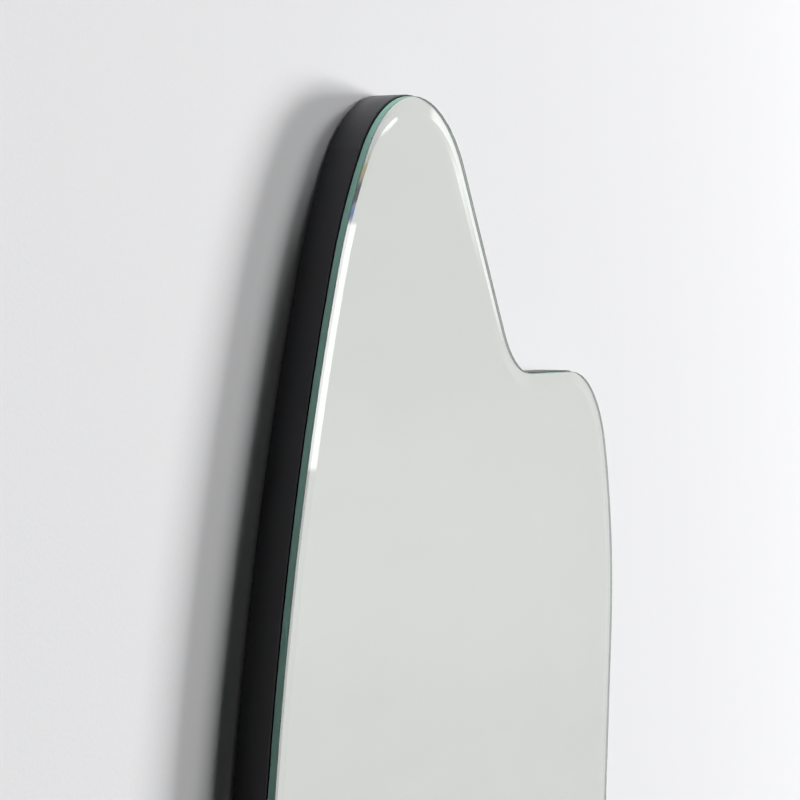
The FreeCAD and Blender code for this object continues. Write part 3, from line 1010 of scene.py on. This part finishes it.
@dataclass
class Studio:
    """The wall, the floor, the light and the camera.

    Attributes:
        wall_gap: How far the wall's face lies behind the board's back, in metres.
        hole_inset: How far the opening in the wall lies inside the silver's outline, in metres.
        flat_limit: Largest turn from the front of the silver's flat face, in degrees.
        weld_digits: Decimals of a metre to which points are taken as one.
        wall_reach: Half width of the wall, in metres.
        wall_top: Top of the wall, in metres.
        floor_level: Height of the floor, in metres.
        floor_reach: Half width of the floor, in metres.
        target: Point that the lamps face.
        camera_place: Place of the camera.
        camera_turn: Angle of the view from the wall's normal, in degrees.
        camera_pitch: Angle of the view above level, in degrees.
        lens: Focal length on a 36 mm sensor, in millimetres.
        room_left: Hex colour of the room straight in front and to the left.
        room_middle: Hex colour of the room to the right.
        room_right: Hex colour of the room far to the right.
        middle_at: Sideways part of the direction in which the middle colour lies.
        dim: Brightness of the room as a light.
        lamps: Lamps of the studio.
        patches: Patches of the room that the mirror shows.
    """

    wall_gap: float = 0.00125
    hole_inset: float = 0.0035
    flat_limit: float = 2.0
    weld_digits: int = 6
    wall_reach: float = 3.0
    wall_top: float = 2.0
    floor_level: float = -1.6
    floor_reach: float = 4.0
    target: tuple[float, float, float] = (-0.15, 0.0, 0.08)
    camera_place: tuple[float, float, float] = (-1.0468, -0.4297, 0.1362)
    camera_turn: float = 66.585
    camera_pitch: float = -3.572
    lens: float = 91.15
    room_left: str = "#C6C8C9"
    room_middle: str = "#E2E2E1"
    room_right: str = "#EAEAE9"
    middle_at: float = 0.75
    dim: float = 0.004
    lamps: tuple[Lamp, ...] = (
        Lamp("side_strip", 71.2, 0.0, distance=14.0, size=(2.46, 3.0), power=3040.0),
        Lamp("main_panel", 48.5, 15.0, distance=14.0, size=(5.6, 2.3), power=890.0),
        Lamp("high_panel", 60.0, 45.0, distance=14.0, size=(5.0, 5.0), power=800.0),
        Lamp("ceiling_strip", 89.5, 79.0, distance=14.0, size=(1.0, 1.0), power=1600.0),
        Lamp("rear_panel", 180.0, 12.0, distance=2.2, size=(1.6, 1.6), power=40.0),
    )
    patches: tuple[RoomPatch, ...] = (
        RoomPatch(SeenIn.GLOSS, turn=(36.0, 62.5), rise=(-4.82, 2.51), soft=0.2, strength=4.0),
        RoomPatch(SeenIn.GLASS, turn=(36.0, 63.5), rise=(-4.05, 7.5), soft=1.8, strength=1.25),
        RoomPatch(SeenIn.GLASS, turn=(36.0, 64.4), rise=(-1.8, 2.25), soft=1.0, strength=1.25),
        RoomPatch(SeenIn.GLASS, turn=(60.0, 73.0), rise=(-11.0, -4.0), soft=4.0, colour="#ECECEB"),
        RoomPatch(SeenIn.GLASS, turn=(68.3, 69.3), rise=(2.35, 3.1), soft=0.15, strength=1.3),
        RoomPatch(SeenIn.GLASS, turn=(75.3, 80.0), rise=(0.12, 0.52), soft=0.25, colour="#C8B48C"),
        RoomPatch(SeenIn.GLASS, turn=(75.3, 80.0), rise=(-0.38, 0.12), soft=0.25, colour="#4A4E55"),
        RoomPatch(SeenIn.GLASS, turn=(75.3, 80.0), rise=(-0.66, -0.38), soft=0.2, colour="#6F8FD0"),
        RoomPatch(SeenIn.GLASS, turn=(-90.0, 12.0), rise=(-80.0, 1.0), soft=20.0, colour="#B6B9BB"),
    )

    def hole(self) -> list[Vector]:
        """Find the outline of the silver, drawn in so that the wall shuts the gap round the board.

        Returns:
            Points of the outline in order, in the wall's plane.
        """
        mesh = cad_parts["silver_coat"].data
        after: dict[tuple[float, float], tuple[float, float]] = {}
        face = [polygon for polygon in mesh.polygons if turn_from_front(polygon) < self.flat_limit]
        sides = set()
        for polygon in face:
            points = (mesh.vertices[at].co for at in polygon.vertices)
            digits = self.weld_digits
            corners = [(round(point.x, digits), round(point.z, digits)) for point in points]
            sides.update(zip(corners, corners[1:] + corners[:1]))
        for start, end in sides:
            if (end, start) not in sides:
                after[start] = end
        first = min(after)
        outline = [first]
        while after[outline[-1]] != first:
            outline.append(after[outline[-1]])
        ring = [Vector((across, self.wall_gap, height)) for across, height in outline]
        inset = []
        for before, point, beyond in zip(ring[-1:] + ring[:-1], ring, ring[1:] + ring[:1]):
            inset.append(point + FRONT.cross(beyond - before).normalized() * self.hole_inset)
        return inset

    def build_wall(self) -> Object:
        """Build the wall, open behind the board so that the rear lamp reaches the board's back.

        Returns:
            The wall.
        """
        reach, low, high = self.wall_reach, self.floor_level, self.wall_top
        rim = [
            Vector((across, self.wall_gap, height))
            for across, height in ((-reach, low), (reach, low), (reach, high), (-reach, high))
        ]
        hole = self.hole()
        corners = rim + hole
        pieces = []
        for piece in tessellate_polygon([rim, hole]):
            first, second, third = (corners[at] for at in piece)
            faces_front = (second - first).cross(third - first).dot(FRONT) > 0
            pieces.append(tuple(piece) if faces_front else tuple(reversed(piece)))
        return self.add_stage("studio_wall", corners, pieces, MattWallEmulsion())

    def build_floor(self) -> Object:
        """Build the floor.

        Returns:
            The floor.
        """
        reach, level = self.floor_reach, self.floor_level
        corners = [
            Vector((across, depth, level))
            for across, depth in ((-reach, -reach), (reach, -reach), (reach, reach), (-reach, reach))
        ]
        return self.add_stage("studio_floor", corners, [(0, 1, 2, 3)], PaleFloorPaint())

    @staticmethod
    def add_stage(
        name: str, corners: Sequence[Vector], pieces: Sequence[Sequence[int]], finish: Finish
    ) -> Object:
        """Add a flat piece of the stage.

        Args:
            name: Name of the piece.
            corners: Its points.
            pieces: Its polygons.
            finish: Its finish.

        Returns:
            The piece.
        """
        mesh = bpy.data.meshes.new(name)
        mesh.from_pydata([tuple(corner) for corner in corners], [], [tuple(piece) for piece in pieces])
        mesh.materials.append(finish.material())
        piece = bpy.data.objects.new(name, mesh)
        bpy.context.scene.collection.objects.link(piece)
        LOG.info("stage %s", name)
        return piece

    def build_world(self) -> None:
        """Set a dim room for the light, and a pale one for the camera, the glass and the metal to see."""
        world = bpy.data.worlds.new("pale_studio")
        world.use_nodes = True
        tree = world.node_tree
        tree.nodes.clear()
        way = add_node(tree, "ShaderNodeTexCoord")
        parts = add_node(tree, "ShaderNodeSeparateXYZ", {"Vector": way.outputs["Generated"]})
        ahead = add_node(tree, "ShaderNodeMath", {0: parts.outputs["Y"], 1: -1.0}, operation="MULTIPLY")
        across = {0: parts.outputs["X"], 1: ahead.outputs["Value"]}
        angles = []
        for inputs, operation in ((across, "ARCTAN2"), ({0: parts.outputs["Z"]}, "ARCSINE")):
            angle = add_node(tree, "ShaderNodeMath", inputs, operation=operation)
            degrees = add_node(tree, "ShaderNodeMath", {0: angle.outputs["Value"]}, operation="DEGREES")
            angles.append(degrees.outputs["Value"])
        room = add_node(tree, "ShaderNodeValToRGB", {"Fac": parts.outputs["X"]})
        bands = room.color_ramp.elements
        bands[0].color, bands[1].color = linear(self.room_left), linear(self.room_right)
        bands.new(self.middle_at).color = linear(self.room_middle)
        shown = room.outputs["Color"]
        for patch in self.patches:
            shown = patch.lay(tree, angles[0], angles[1], shown)
        dim = add_node(tree, "ShaderNodeBackground", {"Color": linear("#FFFFFF"), "Strength": self.dim})
        pale = add_node(tree, "ShaderNodeBackground", {"Color": shown})
        both = add_node(
            tree,
            "ShaderNodeMixShader",
            {0: seen_rays(tree), 1: dim.outputs["Background"], 2: pale.outputs["Background"]},
        )
        add_node(tree, "ShaderNodeOutputWorld", {"Surface": both.outputs["Shader"]})
        # Only rays that reach the room by themselves may ask for its colour
        world.cycles.sampling_method = "NONE"
        bpy.context.scene.world = world
        LOG.info("world %s", world.name)

    def build_camera(self) -> Object:
        """Set the camera at the photograph's place and angle.

        Returns:
            The camera.
        """
        data = bpy.data.cameras.new("photo_camera")
        data.lens = self.lens
        data.sensor_width = SENSOR_MM
        turn, pitch = math.radians(self.camera_turn), math.radians(self.camera_pitch)
        level = math.cos(pitch)
        ahead = Vector((math.sin(turn) * level, math.cos(turn) * level, math.sin(pitch)))
        right = Vector((math.cos(turn), -math.sin(turn), 0.0))
        above = right.cross(ahead)
        axes = Matrix((right, above, -ahead)).transposed().to_4x4()
        camera = bpy.data.objects.new("photo_camera", data)
        camera.matrix_world = Matrix.Translation(Vector(self.camera_place)) @ axes
        bpy.context.scene.collection.objects.link(camera)
        bpy.context.scene.camera = camera
        LOG.info("camera %s", camera.name)
        return camera

    def build(self) -> None:
        """Set up the camera, the wall, the floor, the world and the lamps."""
        self.build_camera()
        self.build_wall()
        self.build_floor()
        self.build_world()
        for lamp in self.lamps:
            lamp.build(Vector(self.target))
        bpy.context.scene.view_settings.view_transform = "Standard"


def main() -> None:
    """Dress the sub-assemblies from the front to the back, then set up the studio."""
    logging.basicConfig(level=logging.INFO, format="%(name)s: %(message)s")
    for assembly in (MirrorPlate(), BackingPanel(), BondLayer(), Hangers(), WallBumpers(), Studio()):
        assembly.build()


if __name__ == "__main__":
    main()
